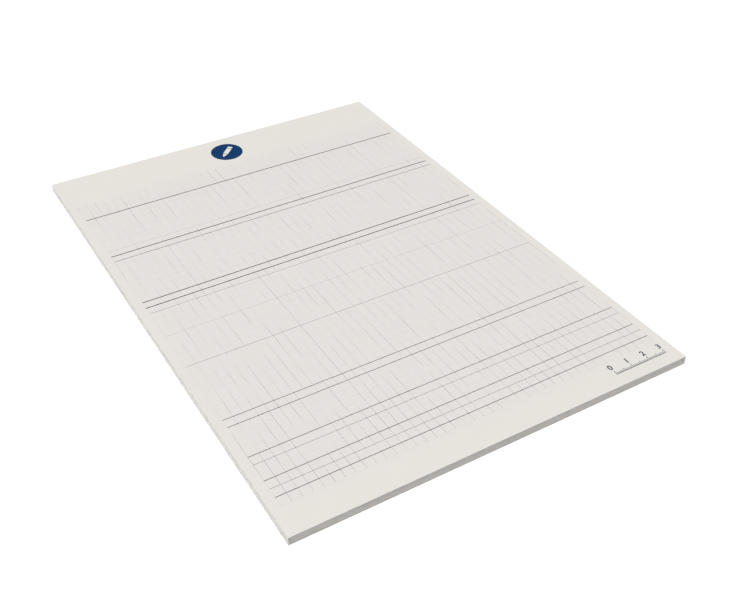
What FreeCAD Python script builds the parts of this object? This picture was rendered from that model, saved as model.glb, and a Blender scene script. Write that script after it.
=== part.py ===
import FreeCAD, Part
import math
import os
import Sketcher

# A head-glued A4 writing pad lying flat: fifty squared leaves, a grey backing board, a film of
# padding adhesive over the head, and the print on the top leaf as thin films of ink.
# Frame: millimetres, +Z up from the table, +Y towards the glued head, +X to the reader's right,
# origin in the middle of the underside.

os.makedirs("parts", exist_ok=True)
doc = FreeCAD.newDocument("writing_pad")

# Driving dimensions in millimetres, apart from the leaf count.
DRIVING = {
    "page_width": 210.0,
    "page_length": 297.0,
    "leaf_count": 50,
    "leaf_thickness": 0.08,
    "cut_bevel": 0.025,
    "board_thickness": 0.45,
    "glue_thickness": 0.3,
    "glue_round": 0.12,
    "ruling_pitch": 5.0,
    "side_margin": 5.0,
    "head_margin": 31.5,
    "foot_margin": 15.5,
    "ink_thickness": 0.01,
    "column_rule": 0.13,
    "faint_rule": 0.1,
    "light_rule": 0.14,
    "medium_rule": 0.3,
    "heavy_rule": 0.55,
    "roundel_margin": 6.5,
    "roundel_diameter": 19.5,
    "pencil_length": 13.0,
    "pencil_width": 3.0,
    "pencil_point": 3.7,
    "pencil_rubber": 1.8,
    "pencil_gap": 0.5,
    "scale_length": 30.0,
    "scale_division": 1.0,
    "scale_side_margin": 6.0,
    "scale_foot_margin": 6.8,
    "scale_line": 0.3,
    "short_tick": 1.1,
    "middle_tick": 1.6,
    "long_tick": 2.2,
}

# Row rules printed darker than the rest, counted down from the ruling's first rule, which is 0.
# The first and the last rule are faint in a ruling of any length.
DARK_ROWS = {
    "heavy_rule": (3, 11, 20, 21),
    "medium_rule": (12, 39, 40, 44, 47, 49),
    "light_rule": (22, 31, 45, 48),
}

# How far the pencil in the roundel is turned from pointing at the head, in degrees.
PENCIL_TURN = 135.0

# Whole steps are counted with a little to spare, so that an exact fit isn't rounded down.
COUNT_SPARE = 0.001
TOLERANCE = 0.001

sizes = doc.addObject("Spreadsheet::Sheet", "sizes")
for line, (alias, value) in enumerate(DRIVING.items(), 1):
    sizes.set(f"A{line}", alias)
    sizes.set(f"B{line}", str(value))
    sizes.setAlias(f"B{line}", alias)
doc.recompute()


def whole(span, step):
    """Expression for how many whole steps fit in a span."""
    return f"floor(({span}) / ({step}) + {COUNT_SPARE})"


# Places and counts that several pieces share, as expressions of the driving dimensions.
LEFT = "(-sizes.page_width / 2)"
RIGHT = "(sizes.page_width / 2)"
FOOT = "(-(sizes.page_length + sizes.glue_thickness) / 2)"
HEAD = f"({FOOT} + sizes.page_length)"
BOARD_TOP = "sizes.board_thickness"
PAGE_TOP = f"({BOARD_TOP} + sizes.leaf_count * sizes.leaf_thickness)"
COLUMNS = whole("sizes.page_width - 2 * sizes.side_margin", "sizes.ruling_pitch")
ROWS = whole("sizes.page_length - sizes.head_margin - sizes.foot_margin", "sizes.ruling_pitch")
RULED_WIDTH = f"({COLUMNS} * sizes.ruling_pitch)"
RULED_LENGTH = f"({ROWS} * sizes.ruling_pitch)"
RULED_HEAD = f"({HEAD} - sizes.head_margin)"


def bind(item, **expressions):
    """Bind properties of a document object to expressions."""
    for name, expression in expressions.items():
        item.setExpression(name, expression)


def place(item, x, y, z):
    """Bind the place of a document object to expressions."""
    for axis, expression in zip("xyz", (x, y, z)):
        item.setExpression(f".Placement.Base.{axis}", expression)


def origin_feature(body, role):
    return next(item for item in body.Origin.OriginFeatures if item.Role == role)


def rectangle(body, name, across, along):
    """Sketch a rectangle in a body's XY plane, from the body's origin towards +X and +Y."""
    first, last, root = 1, 2, -1
    sketch = body.newObject("Sketcher::SketchObject", name)
    sketch.AttachmentSupport = [(origin_feature(body, "XY_Plane"), "")]
    sketch.MapMode = "FlatFace"
    corners = [FreeCAD.Vector(x, y, 0) for x, y in ((0, 0), (1, 0), (1, 1), (0, 1))]
    for start, end in zip(corners, corners[1:] + corners[:1]):
        sketch.addGeometry(Part.LineSegment(start, end))
    for side in range(4):
        sketch.addConstraint(Sketcher.Constraint("Coincident", side, last, (side + 1) % 4, first))
        direction = "Vertical" if side % 2 else "Horizontal"
        sketch.addConstraint(Sketcher.Constraint(direction, side))
    sketch.addConstraint(Sketcher.Constraint("Coincident", 0, first, root, first))
    for label, kind, side, expression in (
        ("across", "DistanceX", 0, across),
        ("along", "DistanceY", 1, along),
    ):
        number = sketch.addConstraint(Sketcher.Constraint(kind, side, first, side, last, 1.0))
        sketch.renameConstraint(number, label)
        sketch.setExpression(f"Constraints.{label}", expression)
    return sketch


def pad(body, name, across, along, height):
    """Pad a rectangle that starts at the body's origin."""
    feature = body.newObject("PartDesign::Pad", name)
    feature.Profile = rectangle(body, f"{name}_outline", across, along)
    bind(feature, Length=height)
    doc.recompute()
    return feature


def repeat(body, name, features, role, step, intervals):
    """Repeat features along one of the body's axes, one copy more than there are intervals."""
    pattern = body.newObject("PartDesign::LinearPattern", name)
    pattern.Originals = features
    pattern.Direction = (origin_feature(body, role), [""])
    bind(pattern, Length=f"{intervals} * {step}", Occurrences=f"{intervals} + 1")
    body.Tip = pattern
    doc.recompute()


def level_edges(feature, wanted):
    """Names of a block's level edges whose lowest y is wanted."""
    names = []
    for number, edge in enumerate(feature.Shape.Edges, 1):
        box = edge.BoundBox
        if box.ZLength < TOLERANCE and wanted(box.YMin):
            names.append(f"Edge{number}")
    return names


def make_backing_board():
    body = doc.addObject("PartDesign::Body", "backing_board")
    pad(body, "board", "sizes.page_width", "sizes.page_length", "sizes.board_thickness")
    place(body, LEFT, FOOT, "0")
    return body


def make_sheet_stack():
    """One leaf, with the bevel of the guillotine's cut along its foot and sides, repeated up the
    stack. The head edge stays square, because the adhesive fills it."""
    body = doc.addObject("PartDesign::Body", "sheet_stack")
    leaf = pad(body, "leaf", "sizes.page_width", "sizes.page_length", "sizes.leaf_thickness")
    bevel = body.newObject("PartDesign::Chamfer", "leaf_bevel")
    head = sizes.page_length - TOLERANCE
    bevel.Base = (leaf, level_edges(leaf, lambda y: y < head))
    bind(bevel, Size="min(sizes.cut_bevel; 0.45 * sizes.leaf_thickness)")
    doc.recompute()
    step = "sizes.leaf_thickness"
    repeat(body, "leaves", [leaf, bevel], "Z_Axis", step, "(sizes.leaf_count - 1)")
    place(body, LEFT, FOOT, BOARD_TOP)
    return body


def make_head_glue():
    """The film of adhesive over the head of the board and the leaves, rounded along its two outer
    edges."""
    body = doc.addObject("PartDesign::Body", "head_glue")
    film = pad(body, "film", "sizes.page_width", "sizes.glue_thickness", PAGE_TOP)
    rounding = body.newObject("PartDesign::Fillet", "film_round")
    outside = sizes.glue_thickness - TOLERANCE
    rounding.Base = (film, level_edges(film, lambda y: y > outside))
    bind(rounding, Radius="min(sizes.glue_round; 0.45 * sizes.glue_thickness)")
    body.Tip = rounding
    place(body, LEFT, HEAD, "0")
    return body


def make_column_rules():
    body = doc.addObject("PartDesign::Body", "column_rules")
    strip = pad(body, "column_strip", "sizes.column_rule", RULED_LENGTH, "sizes.ink_thickness")
    repeat(body, "columns", [strip], "X_Axis", "sizes.ruling_pitch", COLUMNS)
    left = f"-({RULED_WIDTH} + sizes.column_rule) / 2"
    place(body, left, f"{RULED_HEAD} - {RULED_LENGTH}", PAGE_TOP)
    return body


def row_rule(row, width):
    """One row rule, centred on its line, as a second film over the column rules."""
    strip = doc.addObject("Part::Box", f"row_{row}")
    length = f"({RULED_WIDTH} + sizes.column_rule)"
    bind(strip, Length=length, Width=width, Height="sizes.ink_thickness")
    y = f"{RULED_HEAD} - {row} * sizes.ruling_pitch - {width} / 2"
    place(strip, f"-{length} / 2", y, f"{PAGE_TOP} + sizes.ink_thickness")
    return strip


def make_row_rules():
    """The dark row rules and the faint ones, as two groups of strips."""
    ruled = sizes.page_length - sizes.head_margin - sizes.foot_margin
    last = math.floor(ruled / sizes.ruling_pitch + COUNT_SPARE)
    widths = {row: width for width, rows in DARK_ROWS.items() for row in rows if row < last}
    dark = [row_rule(row, f"sizes.{width}") for row, width in sorted(widths.items())]
    faint = [row_rule(row, "sizes.faint_rule") for row in range(last + 1) if row not in widths]
    groups = []
    for name, strips in (("row_rules", dark), ("faint_row_rules", faint)):
        group = doc.addObject("Part::Compound", name)
        group.Links = strips
        groups.append(group)
    return groups


def make_pencil():
    """The outline of a pencil: rubber, shaft and point along Y, centred on the origin."""
    low = "(-sizes.pencil_length / 2)"
    shaft_low = f"({low} + sizes.pencil_rubber + sizes.pencil_gap)"
    point_low = "(sizes.pencil_length / 2 - sizes.pencil_point)"
    pieces = []
    for name, start, length in (
        ("pencil_rubber", low, "sizes.pencil_rubber"),
        ("pencil_shaft", shaft_low, f"{point_low} - sizes.pencil_gap - {shaft_low}"),
    ):
        block = doc.addObject("Part::Box", name)
        bind(block, Length="sizes.pencil_width", Width=length, Height="sizes.ink_thickness")
        place(block, "-sizes.pencil_width / 2", start, "0")
        pieces.append(block)
    point = doc.addObject("Part::Wedge", "pencil_point")
    bind(point, Xmin="-sizes.pencil_width / 2", Xmax="sizes.pencil_width / 2")
    bind(point, X2min="0", X2max="0", Ymin=point_low, Ymax="sizes.pencil_length / 2")
    bind(point, Zmin="0", Z2min="0", Zmax="sizes.ink_thickness", Z2max="sizes.ink_thickness")
    pencil = doc.addObject("Part::Compound", "pencil")
    pencil.Links = [*pieces, point]
    return pencil


def make_head_roundel():
    """A printed disc in the head margin, with a pencil left bare in it that points down to the
    left."""
    disc = doc.addObject("Part::Cylinder", "roundel_disc")
    radius = "sizes.roundel_diameter / 2"
    bind(disc, Radius=radius, Height="sizes.ink_thickness")
    pencil = make_pencil()
    pencil.Placement.Rotation = FreeCAD.Rotation(FreeCAD.Vector(0, 0, 1), PENCIL_TURN)
    roundel = doc.addObject("Part::Cut", "head_roundel")
    roundel.Base = disc
    roundel.Tool = pencil
    place(roundel, "0", f"{HEAD} - sizes.roundel_margin - {radius}", PAGE_TOP)
    return roundel


def make_foot_scale():
    """A short printed scale at the foot: a base line, with ticks at every one, five and ten
    divisions."""
    body = doc.addObject("PartDesign::Body", "foot_scale")
    divisions = whole("sizes.scale_length", "sizes.scale_division")
    line = "sizes.scale_line"
    length = f"({divisions} * sizes.scale_division + {line})"
    pad(body, "base_line", length, line, "sizes.ink_thickness")
    for name, span in (("short_tick", 1), ("middle_tick", 5), ("long_tick", 10)):
        tick = pad(body, name, line, f"{line} + sizes.{name}", "sizes.ink_thickness")
        step = f"({span} * sizes.scale_division)"
        repeat(body, f"{name}s", [tick], "X_Axis", step, whole(divisions, span))
    left = f"{RIGHT} - sizes.scale_side_margin - {length}"
    place(body, left, f"{FOOT} + sizes.scale_foot_margin", PAGE_TOP)
    return body


subparts = [
    make_backing_board(),
    make_sheet_stack(),
    make_head_glue(),
    make_column_rules(),
    *make_row_rules(),
    make_head_roundel(),
    make_foot_scale(),
]
doc.recompute()

for item in doc.Objects:
    if "Invalid" in item.State or "Error" in item.State:
        raise RuntimeError(f"{item.Label} did not recompute: {item.State}")
for item in subparts:
    if item.Shape.isNull() or not item.Shape.isValid():
        raise RuntimeError(f"{item.Label} has no valid shape")
for item in subparts:
    item.Shape.exportStep(f"parts/{item.Label}.step")
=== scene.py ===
import math

import bpy
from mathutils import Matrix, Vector


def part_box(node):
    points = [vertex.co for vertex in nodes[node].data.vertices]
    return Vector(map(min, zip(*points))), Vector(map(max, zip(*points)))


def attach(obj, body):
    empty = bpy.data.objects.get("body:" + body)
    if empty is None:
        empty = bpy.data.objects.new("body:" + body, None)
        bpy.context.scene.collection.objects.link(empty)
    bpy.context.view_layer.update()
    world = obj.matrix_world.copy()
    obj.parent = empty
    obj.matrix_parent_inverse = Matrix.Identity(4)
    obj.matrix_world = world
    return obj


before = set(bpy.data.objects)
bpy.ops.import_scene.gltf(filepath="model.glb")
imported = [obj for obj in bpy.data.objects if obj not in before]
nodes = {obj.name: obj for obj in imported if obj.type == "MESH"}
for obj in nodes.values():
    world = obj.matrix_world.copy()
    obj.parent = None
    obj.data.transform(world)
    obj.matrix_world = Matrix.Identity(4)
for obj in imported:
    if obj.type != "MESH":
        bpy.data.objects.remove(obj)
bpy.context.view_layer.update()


# Leaves
# Fifty leaves of uncoated recycled writing paper. They are stacked, cut together by a guillotine
# and held only at the head, so the foot and the sides show the edge of every leaf.

MM = 0.001
LEAVES = 50
stack_low, stack_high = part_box("sheet_stack")
PAGE_TOP = stack_high.z
LEAF_PITCH = (stack_high.z - stack_low.z) / LEAVES

PAPER = "#D9D6D0"
PAPER_THICK_CLOUD = "#DCD9D3"
CLOUD = 11 * MM
PAPER_FLECK = "#C9C5BE"
FLECK = 1.1 * MM
# A spot begins where its noise passes the rim's value, and is full at the core's.
FLECK_RIM, FLECK_CORE = 0.66, 0.78
FLECK_COVER = 0.5
SHOW_THROUGH = "#FDFCFF"
SHOW_THROUGH_FADE = 5 * MM
FIBRE = 0.45 * MM
TOOTH = 0.35 * MM
TOOTH_DEPTH = 0.012 * MM

# Both edge colours are darker than the paper's face: painted shade of the gaps between the leaves.
SHADED_EDGE_DARK = "#B8B5B1"
SHADED_EDGE_LIGHT = "#CECBC8"
DARKEST_TONE, LIGHTEST_TONE = 0.42, 1.18
LEAF_CONTRAST = 0.35
# Bands of a few leaves each, because one leaf is finer than a pixel of the render.
LEAF_BAND = 0.55 * MM
BAND_LENGTH = 33 * MM
KNIFE_CONTRAST = 0.25
KNIFE_MARK = 1.4 * MM
KNIFE_MARK_LENGTH = 17 * MM
# How upright the normal of a face may be on the flat of a leaf and on its cut edge.
FLAT_OF_LEAF, CUT_EDGE = 0.95, 0.75


def linear(code):
    """The linear RGBA colour of an sRGB hex code."""
    channels = [int(code[i : i + 2], 16) / 255 for i in (1, 3, 5)]
    return [c / 12.92 if c <= 0.04045 else ((c + 0.055) / 1.055) ** 2.4 for c in channels] + [1.0]


def new_material(name):
    """A material without nodes."""
    material = bpy.data.materials.new(name)
    material.use_nodes = True
    material.node_tree.nodes.clear()
    return material


def add(material, kind, inputs=None, **settings):
    """Add a shader node. An input that is a socket is linked, and any other is set as a value.
    A Mix of two colours takes them at inputs 6 and 7 and gives its result at output 2."""
    node = material.node_tree.nodes.new("ShaderNode" + kind)
    for name, value in settings.items():
        setattr(node, name, value)
    for socket, value in (inputs or {}).items():
        if isinstance(value, bpy.types.NodeSocket):
            material.node_tree.links.new(value, node.inputs[socket])
        else:
            node.inputs[socket].default_value = value
    return node


# Uncoated recycled paper: matt and off-white, with cloudy formation and a few dull flecks. The cut
# edges are painted darker than the face of the leaf, as painted shade of the gaps between the
# leaves.
# On them each leaf is a little lighter or darker than the next, and the knife leaves streaks.
# Real fibres are some hundredths of a millimetre thick, and are drawn coarser so that they show.
paper = new_material("uncoated_recycled_paper")
place = add(paper, "TexCoord").outputs["Object"]
cloud = add(paper, "TexNoise", {"Vector": place, "Scale": 1 / CLOUD, "Detail": 4.0})
formed = add(
    paper,
    "Mix",
    {0: cloud.outputs["Fac"], 6: linear(PAPER), 7: linear(PAPER_THICK_CLOUD)},
    data_type="RGBA",
)
fleck = add(paper, "TexNoise", {"Vector": place, "Scale": 1 / FLECK, "Detail": 2.0})
fleck_cover = add(
    paper,
    "MapRange",
    {
        "Value": fleck.outputs["Fac"],
        "From Min": FLECK_RIM,
        "From Max": FLECK_CORE,
        "To Max": FLECK_COVER,
    },
)
face = add(
    paper,
    "Mix",
    {0: fleck_cover.outputs[0], 6: formed.outputs[2], 7: linear(PAPER_FLECK)},
    data_type="RGBA",
)

# The ruling of the leaf below shows through as a faint tint with a soft edge.
ruled_low, ruled_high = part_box("column_rules")
across, along, height = add(paper, "SeparateXYZ", {0: place}).outputs
shares = []
for coordinate, low, high in (
    (across, ruled_low.x, ruled_high.x),
    (along, ruled_low.y, ruled_high.y),
):
    from_middle = add(paper, "Math", {0: coordinate, 1: (low + high) / 2}, operation="SUBTRACT")
    distance = add(paper, "Math", {0: from_middle.outputs[0]}, operation="ABSOLUTE")
    reach = (high - low) / 2
    fade = {"From Min": reach + SHOW_THROUGH_FADE, "From Max": reach - SHOW_THROUGH_FADE}
    share = add(paper, "MapRange", {"Value": distance.outputs[0], **fade})
    shares.append(share.outputs[0])
under_print = add(paper, "Math", {0: shares[0], 1: shares[1]}, operation="MULTIPLY")
printed_face = add(
    paper,
    "Mix",
    {0: under_print.outputs[0], 6: face.outputs[2], 7: linear(SHOW_THROUGH)},
    data_type="RGBA",
    blend_type="MULTIPLY",
)

# The cut edges, in colours painted darker than the face as shade between the leaves: a tone for
# each leaf, slow bands along the stack and streaks down the knife's way.
leaves_below = add(
    paper,
    "Math",
    {0: height, 1: 1 / LEAF_PITCH, 2: -stack_low.z / LEAF_PITCH},
    operation="MULTIPLY_ADD",
)
leaf_number = add(paper, "Math", {0: leaves_below.outputs[0]}, operation="FLOOR")
leaf_tone = add(paper, "TexWhiteNoise", {"W": leaf_number.outputs[0]}, noise_dimensions="1D")
band_scale = (1 / BAND_LENGTH, 1 / BAND_LENGTH, 1 / LEAF_BAND)
band_place = add(paper, "Mapping", {"Vector": place, "Scale": band_scale})
band = add(paper, "TexNoise", {"Vector": band_place.outputs[0], "Scale": 1.0, "Detail": 2.0})
knife_scale = (1 / KNIFE_MARK, 1 / KNIFE_MARK, 1 / KNIFE_MARK_LENGTH)
knife_place = add(paper, "Mapping", {"Vector": place, "Scale": knife_scale})
knife = add(paper, "TexNoise", {"Vector": knife_place.outputs[0], "Scale": 1.0, "Detail": 3.0})
tones = add(
    paper,
    "Math",
    {0: leaf_tone.outputs["Value"], 1: LEAF_CONTRAST, 2: band.outputs["Fac"]},
    operation="MULTIPLY_ADD",
)
edge_tone = add(
    paper,
    "Math",
    {0: knife.outputs["Fac"], 1: KNIFE_CONTRAST, 2: tones.outputs[0]},
    operation="MULTIPLY_ADD",
)
edge_mix = add(
    paper,
    "MapRange",
    {"Value": edge_tone.outputs[0], "From Min": DARKEST_TONE, "From Max": LIGHTEST_TONE},
)
edge = add(
    paper,
    "Mix",
    {0: edge_mix.outputs[0], 6: linear(SHADED_EDGE_DARK), 7: linear(SHADED_EDGE_LIGHT)},
    data_type="RGBA",
)

normal = add(paper, "NewGeometry").outputs["Normal"]
upright = add(paper, "SeparateXYZ", {0: normal}).outputs["Z"]
level = add(paper, "Math", {0: upright}, operation="ABSOLUTE")
on_edge = add(
    paper,
    "MapRange",
    {"Value": level.outputs[0], "From Min": FLAT_OF_LEAF, "From Max": CUT_EDGE},
)
# Faces that stand upright take the edge colours, which carry painted shade between the leaves.
paper_colour = add(
    paper,
    "Mix",
    {0: on_edge.outputs[0], 6: printed_face.outputs[2], 7: edge.outputs[2]},
    data_type="RGBA",
)
tooth = add(paper, "TexNoise", {"Vector": place, "Scale": 1 / TOOTH, "Detail": 3.0})
fibre = add(
    paper,
    "TexNoise",
    {"Vector": place, "Scale": 1 / FIBRE, "Detail": 2.0, "Distortion": 1.5},
)
relief = add(paper, "Math", {0: tooth.outputs["Fac"], 1: fibre.outputs["Fac"]}, operation="ADD")
bump = add(paper, "Bump", {"Height": relief.outputs[0], "Distance": TOOTH_DEPTH})
shader = add(
    paper,
    "BsdfPrincipled",
    {
        "Base Color": paper_colour.outputs[2],
        "Roughness": 0.9,
        "IOR": 1.5,
        "Normal": bump.outputs[0],
    },
)
add(paper, "OutputMaterial", {"Surface": shader.outputs[0]})
nodes["sheet_stack"].active_material = paper


# Backing board
# A sheet of grey board, pressed from waste paper, under the last leaf. It is cut with the stack
# and held by the same adhesive.

BOARD = "#B9B5AC"
BOARD_DARK = "#9E9A91"
BOARD_CLOUD = 4.8 * MM
BOARD_FLECK = "#7C7870"
BOARD_FIBRE = 0.8 * MM
SPECK_RIM, SPECK_CORE = 0.62, 0.72
SPECK_COVER = 0.7
BOARD_DEPTH = 0.02 * MM

# Grey board: dull, mottled by its mixed fibres, with dark specks of old print.
board = new_material("pressed_grey_board")
place = add(board, "TexCoord").outputs["Object"]
pulp = add(board, "TexNoise", {"Vector": place, "Scale": 1 / BOARD_CLOUD, "Detail": 6.0})
mottle = add(
    board,
    "Mix",
    {0: pulp.outputs["Fac"], 6: linear(BOARD_DARK), 7: linear(BOARD)},
    data_type="RGBA",
)
speck = add(board, "TexNoise", {"Vector": place, "Scale": 1 / BOARD_FIBRE, "Detail": 2.0})
speck_cover = add(
    board,
    "MapRange",
    {
        "Value": speck.outputs["Fac"],
        "From Min": SPECK_RIM,
        "From Max": SPECK_CORE,
        "To Max": SPECK_COVER,
    },
)
board_colour = add(
    board,
    "Mix",
    {0: speck_cover.outputs[0], 6: mottle.outputs[2], 7: linear(BOARD_FLECK)},
    data_type="RGBA",
)
bump = add(board, "Bump", {"Height": speck.outputs["Fac"], "Distance": BOARD_DEPTH})
shader = add(
    board,
    "BsdfPrincipled",
    {
        "Base Color": board_colour.outputs[2],
        "Roughness": 0.88,
        "IOR": 1.5,
        "Normal": bump.outputs[0],
    },
)
add(board, "OutputMaterial", {"Surface": shader.outputs[0]})
nodes["backing_board"].active_material = board


# Head glue
# A film of white padding adhesive, brushed across the clamped head of the leaves and the board.
# It dries rubbery and a little translucent.

GLUE = "#DCDAD3"
GLUE_THIN = "#C9C6BD"
BRUSH_STROKE = 0.35 * MM
BRUSH_LENGTH = 22 * MM
BRUSH_DEPTH = 0.03 * MM
THIN_FILM, THICK_FILM = 0.3, 0.7
THIN_ROUGHNESS, THICK_ROUGHNESS = 0.5, 0.36

# Dried polyvinyl acetate: a soft satin shine, streaked along the brush where the film is thin.
glue = new_material("brushed_pva_adhesive")
place = add(glue, "TexCoord").outputs["Object"]
stroke_scale = (1 / BRUSH_LENGTH, 1 / BRUSH_STROKE, 1 / BRUSH_STROKE)
stroke_place = add(glue, "Mapping", {"Vector": place, "Scale": stroke_scale})
stroke = add(glue, "TexNoise", {"Vector": stroke_place.outputs[0], "Scale": 1.0, "Detail": 3.0})
film = add(
    glue,
    "Mix",
    {0: stroke.outputs["Fac"], 6: linear(GLUE_THIN), 7: linear(GLUE)},
    data_type="RGBA",
)
shine = add(
    glue,
    "MapRange",
    {
        "Value": stroke.outputs["Fac"],
        "From Min": THIN_FILM,
        "From Max": THICK_FILM,
        "To Min": THIN_ROUGHNESS,
        "To Max": THICK_ROUGHNESS,
    },
)
bump = add(glue, "Bump", {"Height": stroke.outputs["Fac"], "Distance": BRUSH_DEPTH})
shader = add(
    glue,
    "BsdfPrincipled",
    {
        "Base Color": film.outputs[2],
        "Roughness": shine.outputs[0],
        "IOR": 1.46,
        "Normal": bump.outputs[0],
    },
)
add(glue, "OutputMaterial", {"Surface": shader.outputs[0]})
nodes["head_glue"].active_material = glue


# Row rules
# Thin rules of grey ink across the page. Some of them came out much darker and wider than the
# rest, which are a bare tint.

ROW_INK = "#403E3C"
FAINT_ROW_INK = "#9C9A97"
FAINTEST_ROW = 0.05
ROW_PITCH = 5 * MM
# This seed lets two of the faint rows come out, one near the head and one near the middle.
ROW_SEED = 74100.0
# A row stays at its faintest up to the first of these chances, and is full from the second.
FAINT_CHANCE, CLEAR_CHANCE = 0.86, 0.96
faint_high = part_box("faint_row_rules")[1]
# Real pinholes are about a fibre wide, and are drawn coarser so that they show.
PINHOLE = 0.22 * MM
PINHOLE_CORE, PINHOLE_RIM = 0.74, 0.62
PINHOLE_INK = 0.6


def litho_ink(name, colour, strength=None):
    """Offset ink on uncoated paper: it sinks in and dries matt, and fibres show through it as
    pinholes. The function strength gives the socket that thins the ink out, from 1 down to 0,
    which is bare paper."""
    ink = new_material(name)
    where = add(ink, "TexCoord").outputs["Object"]
    fibres = add(ink, "TexNoise", {"Vector": where, "Scale": 1 / PINHOLE, "Detail": 3.0})
    cover = add(
        ink,
        "MapRange",
        {
            "Value": fibres.outputs["Fac"],
            "From Min": PINHOLE_CORE,
            "From Max": PINHOLE_RIM,
            "To Min": PINHOLE_INK,
        },
    ).outputs[0]
    if strength:
        thinned = {0: cover, 1: strength(ink, where)}
        cover = add(ink, "Math", thinned, operation="MULTIPLY").outputs[0]
    colours = {0: cover, 6: linear(PAPER), 7: linear(colour)}
    mixed = add(ink, "Mix", colours, data_type="RGBA")
    relief = add(ink, "Bump", {"Height": fibres.outputs["Fac"], "Distance": TOOTH_DEPTH})
    shader = add(
        ink,
        "BsdfPrincipled",
        {
            "Base Color": mixed.outputs[2],
            "Roughness": 0.8,
            "IOR": 1.5,
            "Specular IOR Level": 0.05,
            "Normal": relief.outputs[0],
        },
    )
    add(ink, "OutputMaterial", {"Surface": shader.outputs[0]})
    return ink


def faint_row_strength(ink, where):
    """How strongly a faint row prints, by a white noise on the row's number."""
    along = add(ink, "SeparateXYZ", {0: where}).outputs["Y"]
    from_head = add(ink, "Math", {0: faint_high.y, 1: along}, operation="SUBTRACT").outputs[0]
    rows = add(ink, "Math", {0: from_head, 1: 1 / ROW_PITCH}, operation="MULTIPLY").outputs[0]
    number = add(ink, "Math", {0: rows}, operation="ROUND").outputs[0]
    seeded = add(ink, "Math", {0: number, 1: ROW_SEED}, operation="ADD").outputs[0]
    chance = add(ink, "TexWhiteNoise", {"W": seeded}, noise_dimensions="1D").outputs["Value"]
    few = {"From Min": FAINT_CHANCE, "From Max": CLEAR_CHANCE, "To Min": FAINTEST_ROW}
    return add(ink, "MapRange", {"Value": chance, **few}).outputs[0]


nodes["row_rules"].active_material = litho_ink("grey_offset_ink", ROW_INK)
nodes["faint_row_rules"].active_material = litho_ink(
    "pale_grey_offset_ink", FAINT_ROW_INK, faint_row_strength
)


# Column rules
# Forty-one fine rules down the page, printed before the rows in a weak grey. They fade in and out
# along their length, and grow stronger towards the foot.

COLUMN_INK = "#868482"
FADE_LENGTH = 26 * MM
FADE_ACROSS = 2.3 * MM
PATCH_RIM, PATCH_CORE = 0.48, 0.7
FAINTEST_COLUMN = 0.12
# They grow stronger from this share of the way down the page.
STRONGER_BELOW = 0.35
GAIN_AT_FOOT = 0.11
columns_low, columns_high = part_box("column_rules")


def column_strength(ink, where):
    """How strongly a column prints: in patches along each rule, with more of them near the foot."""
    fade_scale = (1 / FADE_ACROSS, 1 / FADE_LENGTH, 1.0)
    fade_place = add(ink, "Mapping", {"Vector": where, "Scale": fade_scale})
    patch = add(ink, "TexNoise", {"Vector": fade_place.outputs[0], "Scale": 1.0, "Detail": 2.0})
    along = add(ink, "SeparateXYZ", {0: where}).outputs["Y"]
    turn = columns_high.y + STRONGER_BELOW * (columns_low.y - columns_high.y)
    slope = {"From Min": turn, "From Max": columns_low.y, "To Max": GAIN_AT_FOOT}
    nearer_foot = add(ink, "MapRange", {"Value": along, **slope}).outputs[0]
    sum_of_both = {0: patch.outputs["Fac"], 1: nearer_foot}
    inked = add(ink, "Math", sum_of_both, operation="ADD").outputs[0]
    patches = {"From Min": PATCH_RIM, "From Max": PATCH_CORE, "To Min": FAINTEST_COLUMN}
    return add(ink, "MapRange", {"Value": inked, **patches}).outputs[0]


nodes["column_rules"].active_material = litho_ink(
    "weak_grey_offset_ink", COLUMN_INK, column_strength
)


# Head roundel
# A disc of navy ink, printed in the middle of the head margin with the same press as the rules.
# The pencil in it is a gap in the ink, so it is bare paper.

NAVY_INK = "#053562"

nodes["head_roundel"].active_material = litho_ink("navy_offset_ink", NAVY_INK)


# Foot scale
# A three-centimetre scale printed in dark slate ink near the right foot corner. Its numerals are
# films of the same ink, and they alone are made here.

SLATE_INK = "#1E2743"
DIGIT_HEIGHT = 3.2 * MM
DIGIT_GAP = 1.0 * MM
DIGIT_BOLDNESS = 0.02
DIGIT_CURVE_STEPS = 5
CENTIMETRE = 10 * MM
scale_low, scale_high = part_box("foot_scale")
SCALE_LENGTH = scale_high.x - scale_low.x
TICK_WIDTH = SCALE_LENGTH % CENTIMETRE
INK_FILM = scale_high.z - PAGE_TOP

slate = litho_ink("slate_offset_ink", SLATE_INK)
nodes["foot_scale"].active_material = slate


def digit(text):
    """Corners and faces of a digit, one unit high and thick, standing on y 0 and centred on x 0
    and z 0."""
    curve = bpy.data.curves.new("digit", "FONT")
    curve.body = text
    curve.resolution_u = DIGIT_CURVE_STEPS
    curve.offset = DIGIT_BOLDNESS
    curve.extrude = 1 / 2
    letter = bpy.data.objects.new("digit", curve)
    mesh = bpy.data.meshes.new_from_object(letter)
    corners = [vertex.co.copy() for vertex in mesh.vertices]
    faces = [list(polygon.vertices) for polygon in mesh.polygons]
    bpy.data.objects.remove(letter)
    bpy.data.curves.remove(curve)
    bpy.data.meshes.remove(mesh)
    left, right = min(c.x for c in corners), max(c.x for c in corners)
    low, high = min(c.y for c in corners), max(c.y for c in corners)
    tall = high - low
    centre = (left + right) / 2
    return [Vector(((c.x - centre) / tall, (c.y - low) / tall, c.z)) for c in corners], faces


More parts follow.
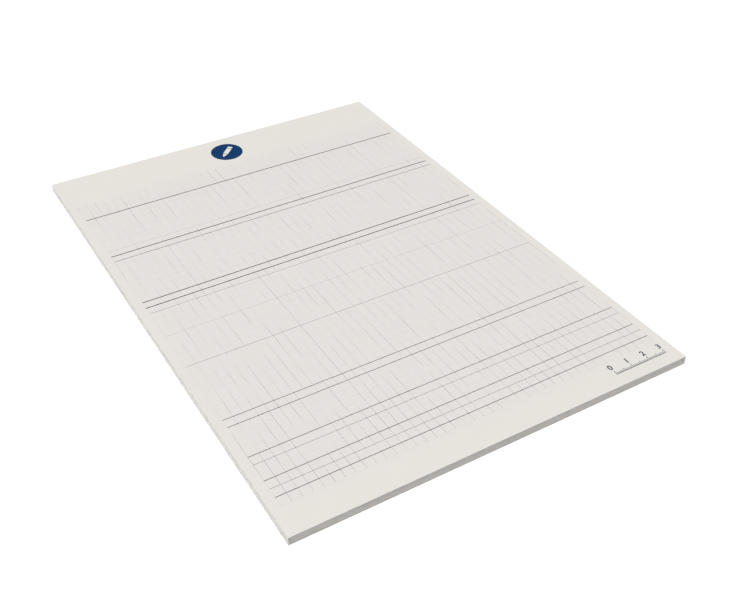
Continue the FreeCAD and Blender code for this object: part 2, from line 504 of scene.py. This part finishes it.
corners, faces = [], []
size = Vector((DIGIT_HEIGHT, DIGIT_HEIGHT, INK_FILM))
for number in range(round(SCALE_LENGTH / CENTIMETRE) + 1):
    outline, polygons = digit(str(number))
    base = Vector((
        scale_low.x + TICK_WIDTH / 2 + number * CENTIMETRE,
        scale_high.y + DIGIT_GAP,
        PAGE_TOP + INK_FILM / 2,
    ))
    first = len(corners)
    corners += [base + point * size for point in outline]
    faces += [[first + index for index in polygon] for polygon in polygons]
mesh = bpy.data.meshes.new("scale_numerals")
mesh.from_pydata(corners, [], faces)
mesh.update()
numerals = bpy.data.objects.new("scale_numerals", mesh)
bpy.context.scene.collection.objects.link(numerals)
numerals.data.materials.append(slate)
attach(numerals, "root")


# Studio
# A white table top under a large softbox, with a second, low one on the left that lights the
# pad's long side. The camera looks down on the pad from its left foot corner.

TABLE_SIZE = 2.4
# The table top lies a little under the pad, so that it never lies in the board's own face.
TABLE_DROP = 0.02 * MM
TABLE_WHITE = "#FEFEFE"
TABLE_CLOUD = "#FCFCFC"
TABLE_CLOUD_SIZE = 25 * MM
WALL_WHITE = "#FFFFFF"
WALL_LIGHT = 1.1
# The walls fade into the ceiling between these heights, each the sine of an angle above level.
WALL_FOOT = 0.05
WALL_TOP = 0.23
CEILING_LIGHT = 0.13
# The lens and the sensor are in millimetres, and the angles in degrees.
CAMERA_PLACE = Vector((-0.2107, -0.3717, 0.3151))
CAMERA_AZIMUTH = -30.12
CAMERA_ELEVATION = 38.28
LENS = 48.74
LENS_SHIFT = (0.0388, 0.0007)
SENSOR = 36.0
NEAREST = 10 * MM

# Matt white laminate: almost without a sheen, so that the table top is as plain as paper.
table_top = new_material("matt_white_laminate")
place = add(table_top, "TexCoord").outputs["Object"]
grain = add(table_top, "TexNoise", {"Vector": place, "Scale": 1 / TABLE_CLOUD_SIZE, "Detail": 2.0})
tone = add(
    table_top,
    "Mix",
    {0: grain.outputs["Fac"], 6: linear(TABLE_CLOUD), 7: linear(TABLE_WHITE)},
    data_type="RGBA",
)
shader = add(table_top, "BsdfPrincipled", {"Base Color": tone.outputs[2], "Roughness": 0.95})
add(table_top, "OutputMaterial", {"Surface": shader.outputs[0]})
half = TABLE_SIZE / 2
mesh = bpy.data.meshes.new("table_top")
mesh.from_pydata(
    [(x, y, -TABLE_DROP) for x, y in ((-half, -half), (half, -half), (half, half), (-half, half))],
    [],
    [(0, 1, 2, 3)],
)
floor = bpy.data.objects.new("table_top", mesh)
floor.data.materials.append(table_top)
bpy.context.scene.collection.objects.link(floor)


def softbox(name, place, width, depth, power):
    """An area light that faces the pad and stays out of the picture."""
    light = bpy.data.lights.new(name, "AREA")
    light.shape = "RECTANGLE"
    light.size, light.size_y = width, depth
    light.energy = power
    box = bpy.data.objects.new(name, light)
    box.location = place
    box.rotation_euler = (-Vector(place)).to_track_quat("-Z", "Y").to_euler()
    box.visible_camera = False
    bpy.context.scene.collection.objects.link(box)


softbox("overhead_softbox", place=(-1.3, -1.8, 9.8), width=5.2, depth=5.2, power=1000.0)
softbox("left_softbox", place=(-5.6, 1.6, 0.88), width=3.8, depth=1.0, power=190.0)

# White walls all round under a dim ceiling.
world = bpy.data.worlds.new("studio")
world.use_nodes = True
world.node_tree.nodes.clear()
direction = add(world, "TexCoord").outputs["Generated"]
climb = add(world, "SeparateXYZ", {0: direction}).outputs["Z"]
heights = {"From Min": WALL_FOOT, "From Max": WALL_TOP}
lights = {"To Min": WALL_LIGHT, "To Max": CEILING_LIGHT}
light = add(
    world,
    "MapRange",
    {"Value": climb, **heights, **lights},
    interpolation_type="SMOOTHSTEP",
)
glow = {"Color": linear(WALL_WHITE), "Strength": light.outputs[0]}
background = add(world, "Background", glow)
add(world, "OutputWorld", {"Surface": background.outputs[0]})
bpy.context.scene.world = world

azimuth, elevation = math.radians(CAMERA_AZIMUTH), math.radians(CAMERA_ELEVATION)
forward = Vector((
    -math.sin(azimuth) * math.cos(elevation),
    math.cos(azimuth) * math.cos(elevation),
    -math.sin(elevation),
))
lens = bpy.data.cameras.new("camera")
lens.lens = LENS
lens.sensor_width = SENSOR
lens.shift_x, lens.shift_y = LENS_SHIFT
lens.clip_start = NEAREST
camera = bpy.data.objects.new("camera", lens)
camera.location = CAMERA_PLACE
camera.rotation_euler = forward.to_track_quat("-Z", "Y").to_euler()
bpy.context.scene.collection.objects.link(camera)
bpy.context.scene.camera = camera
bpy.context.scene.view_settings.view_transform = "Standard"
